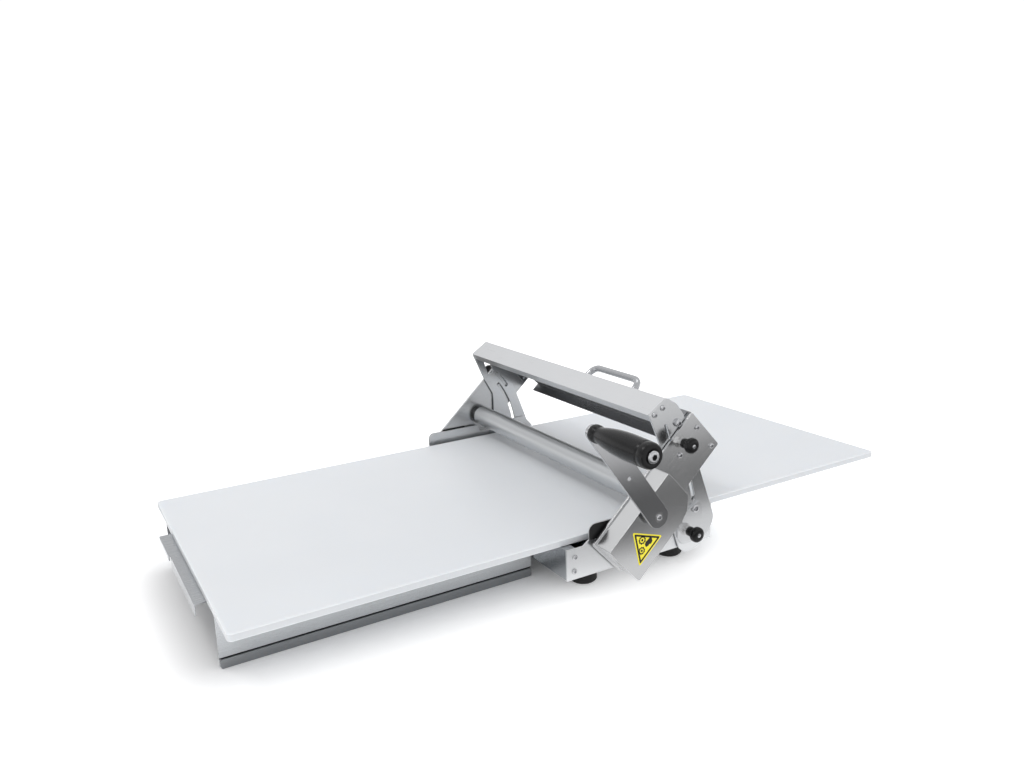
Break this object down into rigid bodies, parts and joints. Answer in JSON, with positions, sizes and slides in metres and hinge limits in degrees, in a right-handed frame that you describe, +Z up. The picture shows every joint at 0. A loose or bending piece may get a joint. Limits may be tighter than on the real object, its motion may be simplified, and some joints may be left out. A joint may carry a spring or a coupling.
{
  "type": "dough sheeter",
  "caption": "Hand-cranked table-top dough sheeter: steel frame with a geared roller in an adjustable leaning head, crank, carry handle, sliding plastic board and support tray.",
  "frame": {"origin": "centre of the bounding box, on the table under the feet", "axes": "+X along the board in the direction the dough travels, from the support tray side to the free end; +Y along the roller, away from the crank; +Z up"},
  "size_m": [0.988, 0.642, 0.2402],
  "materials": {
    "sheet_steel": "satin brushed stainless",
    "folded_sheet": "satin stainless",
    "roller_steel": "fine ground stainless",
    "turned_steel": "turned",
    "gear_steel": "hobbed, lightly oiled",
    "fastener_steel": "zinc plated",
    "bright_bar": "polished",
    "bush_plastic": "moulded",
    "black_plastic": "semi gloss moulded",
    "rubber": "moulded",
    "white_plastic": "fine grained sheet"
  },
  "bodies": {
    "base": {"base_pan": "folded_sheet", "base_side_near": "sheet_steel", "base_side_far": "sheet_steel", "hinge_pad_near": "bush_plastic", "hinge_pad_far": "bush_plastic", "foot_near_front": "rubber", "foot_near_rear": "rubber", "foot_far_front": "rubber", "foot_far_rear": "rubber", "foot_screws": "fastener_steel", "pan_screws": "fastener_steel", "lower_roller_bushes": "bush_plastic", "head_hinge_bolts": "fastener_steel", "upright_arm_near": "sheet_steel", "upright_arm_far": "sheet_steel", "upright_beam": "sheet_steel", "beam_screws": "fastener_steel", "stop_screws": "fastener_steel", "arm_bolts": "fastener_steel", "plunger_lug_near": "sheet_steel", "plunger_lug_far": "sheet_steel", "lower_plunger_body_near": "turned_steel", "lower_plunger_body_far": "turned_steel"},
    "head": {"head_plate_near": "sheet_steel", "head_plate_far": "sheet_steel", "head_web": "sheet_steel", "web_screws": "fastener_steel", "gear_cover": "sheet_steel", "cover_screws": "fastener_steel", "upper_roller_bushes": "bush_plastic", "crank_bush_inner": "bush_plastic", "crank_bush_outer": "bush_plastic", "carry_handle": "bright_bar", "handle_nuts": "fastener_steel", "guide_pins": "fastener_steel", "upper_plunger_body_near": "turned_steel", "upper_plunger_body_far": "turned_steel"},
    "upper_roller_set": {"upper_roller": "roller_steel", "upper_roller_shaft": "turned_steel", "roller_gear": "gear_steel"},
    "lower_roller_set": {"lower_roller": "roller_steel", "lower_roller_shaft": "turned_steel"},
    "crank": {"crank_shaft": "turned_steel", "crank_gear": "gear_steel", "crank_arm": "sheet_steel", "crank_screw": "fastener_steel", "grip_spindle": "turned_steel"},
    "grip": {"crank_grip": "black_plastic"},
    "upper_plunger_near": {"upper_plunger_pin_near": "turned_steel", "upper_plunger_knob_near": "black_plastic"},
    "upper_plunger_far": {"upper_plunger_pin_far": "turned_steel", "upper_plunger_knob_far": "black_plastic"},
    "lower_plunger_near": {"lower_plunger_pin_near": "turned_steel", "lower_plunger_knob_near": "black_plastic"},
    "lower_plunger_far": {"lower_plunger_pin_far": "turned_steel", "lower_plunger_knob_far": "black_plastic"},
    "sliding_board": {"board": "white_plastic"},
    "tray": {"support_tray": "folded_sheet", "tray_rails": "folded_sheet"}
  },
  "joints": [
    {"name": "head_height", "type": "hinge", "parent": "base", "child": "head", "pos_m": [-0.031, 0.059, 0.0675], "axis": [0, 1, 0], "range_deg": [0, 10]},
    {"name": "crank_turn", "type": "hinge", "parent": "head", "child": "crank", "pos_m": [0.01798, -0.191, 0.1005], "axis": [0, 1, 0], "continuous": true},
    {"name": "upper_roller_spin", "type": "hinge", "parent": "head", "child": "upper_roller_set", "pos_m": [0.049, 0.059, 0.106], "axis": [0, 1, 0], "continuous": true},
    {"name": "grip_spin", "type": "hinge", "parent": "crank", "child": "grip", "pos_m": [-0.0772, -0.271, 0.22409], "axis": [0, 1, 0], "continuous": true},
    {"name": "lower_roller_spin", "type": "hinge", "parent": "base", "child": "lower_roller_set", "pos_m": [0.052, 0.059, 0.0487], "axis": [0, 1, 0], "continuous": true},
    {"name": "board_slide", "type": "slide", "parent": "base", "child": "sliding_board", "axis": [1, 0, 0], "range_m": [-0.35, 0.35]},
    {"name": "tray_slide", "type": "slide", "parent": "base", "child": "tray", "axis": [-1, 0, 0], "range_m": [0, 0.25]},
    {"name": "upper_plunger_near_pull", "type": "slide", "parent": "head", "child": "upper_plunger_near", "axis": [0, -1, 0], "range_m": [0, 0.006], "stiffness_N_per_m": 800},
    {"name": "upper_plunger_far_pull", "type": "slide", "parent": "head", "child": "upper_plunger_far", "axis": [0, 1, 0], "range_m": [0, 0.006], "stiffness_N_per_m": 800},
    {"name": "lower_plunger_near_pull", "type": "slide", "parent": "base", "child": "lower_plunger_near", "axis": [0, -1, 0], "range_m": [0, 0.006], "stiffness_N_per_m": 800},
    {"name": "lower_plunger_far_pull", "type": "slide", "parent": "base", "child": "lower_plunger_far", "axis": [0, 1, 0], "range_m": [0, 0.006], "stiffness_N_per_m": 800}
  ],
  "couplings": [
    {"joint": "upper_roller_spin", "follows": "crank_turn", "ratio": -0.61538}
  ]
}
